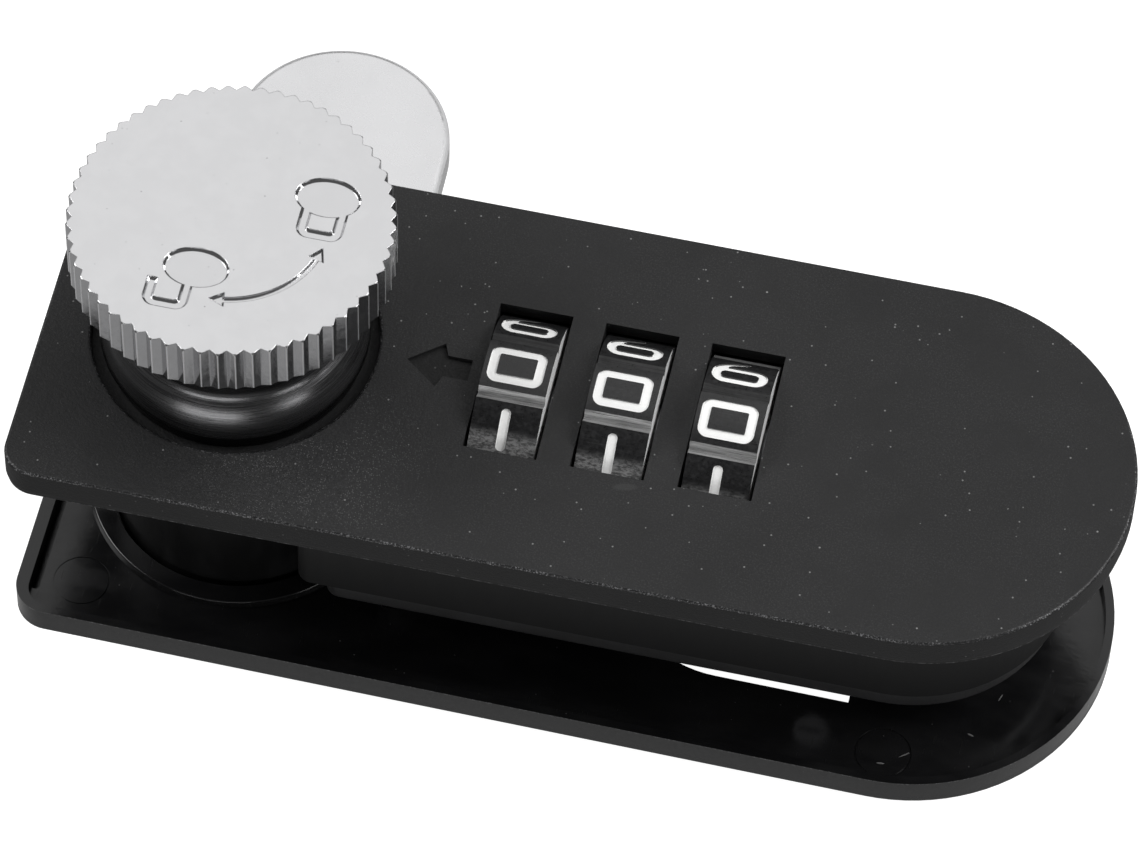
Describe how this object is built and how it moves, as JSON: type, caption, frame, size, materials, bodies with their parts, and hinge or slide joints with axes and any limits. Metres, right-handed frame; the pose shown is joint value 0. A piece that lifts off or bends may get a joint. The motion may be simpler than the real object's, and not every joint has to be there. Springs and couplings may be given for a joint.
{
  "type": "combination locker lock",
  "caption": "Cam lock for a locker door: a long black cover with number dials in windows, a knurled chrome turning knob, a bar cam behind and a clamping plate.",
  "frame": {"origin": "where the knob and cam axis meets the plane on which the cover's underside rests against the door", "axes": "+X along the cover from the knob towards the round end; +Y the way the cam points when locked; +Z out of the door towards the user"},
  "size_m": [0.0814, 0.0594, 0.0435],
  "materials": {
    "black_casting": "fine textured matt black over a zinc casting",
    "black_plastic": "plain black moulding",
    "gloss_black": "glossy black moulding",
    "bright_chrome": "mirror chrome plate",
    "zinc_screw": "zinc plated steel",
    "zinc_cam": "bright plated steel, tumbled",
    "white_washer": "white nylon",
    "steel": "turned steel",
    "spring_steel": "spring steel",
    "brass": "turned brass",
    "dial_black": "glossy black over a zinc casting, side faces bare"
  },
  "bodies": {
    "housing": {"front_housing": "black_casting", "body_lid": "black_plastic", "back_plate": "gloss_black", "plate_screws": "zinc_screw", "stop_pin": "steel", "spindle_bush": "brass", "dial_axle": "steel", "axle_clips": "spring_steel", "dial_carrier": "steel", "detent_spring_1": "spring_steel", "detent_spring_2": "spring_steel", "detent_spring_3": "spring_steel", "slide_spring": "spring_steel", "reset_spring": "spring_steel", "lid_screws": "zinc_screw"},
    "knob": {"knob": "bright_chrome", "spindle": "steel", "knob_washer": "black_plastic", "cam": "zinc_cam", "cam_washer": "white_washer", "lock_washer": "zinc_screw", "cam_nut": "zinc_screw"},
    "slide": {"locking_slide": "steel"},
    "reset_lever": {"reset_lever": "black_plastic"},
    "dial_1": {"dial_1": "dial_black", "code_sleeve_1": "steel"},
    "dial_2": {"dial_2": "dial_black", "code_sleeve_2": "steel"},
    "dial_3": {"dial_3": "dial_black", "code_sleeve_3": "steel"}
  },
  "joints": [
    {"name": "knob_turn", "type": "hinge", "parent": "housing", "child": "knob", "pos_m": [0, 0, 0], "axis": [0, 0, 1], "range_deg": [0, 90]},
    {"name": "dial_1_turn", "type": "hinge", "parent": "housing", "child": "dial_1", "pos_m": [0.02122, 0.00035, -0.00335], "axis": [1, 0, 0], "continuous": true, "deforming": ["detent_spring_1"]},
    {"name": "dial_2_turn", "type": "hinge", "parent": "housing", "child": "dial_2", "pos_m": [0.02922, 0.00035, -0.00335], "axis": [1, 0, 0], "continuous": true, "deforming": ["detent_spring_2"]},
    {"name": "dial_3_turn", "type": "hinge", "parent": "housing", "child": "dial_3", "pos_m": [0.03722, 0.00035, -0.00335], "axis": [1, 0, 0], "continuous": true, "deforming": ["detent_spring_3"]},
    {"name": "slide_travel", "type": "slide", "parent": "housing", "child": "slide", "axis": [1, 0, 0], "range_m": [0, 0.0018], "deforming": ["slide_spring"]},
    {"name": "reset_push", "type": "slide", "parent": "housing", "child": "reset_lever", "axis": [0, 1, 0], "range_m": [0, 0.0024], "stiffness_N_per_m": 150, "springref_m": -0.001, "deforming": ["reset_spring"]}
  ],
  "couplings": [
    {"joint": "slide_travel", "follows": "knob_turn", "m_per_rad": 0.0011459}
  ]
}
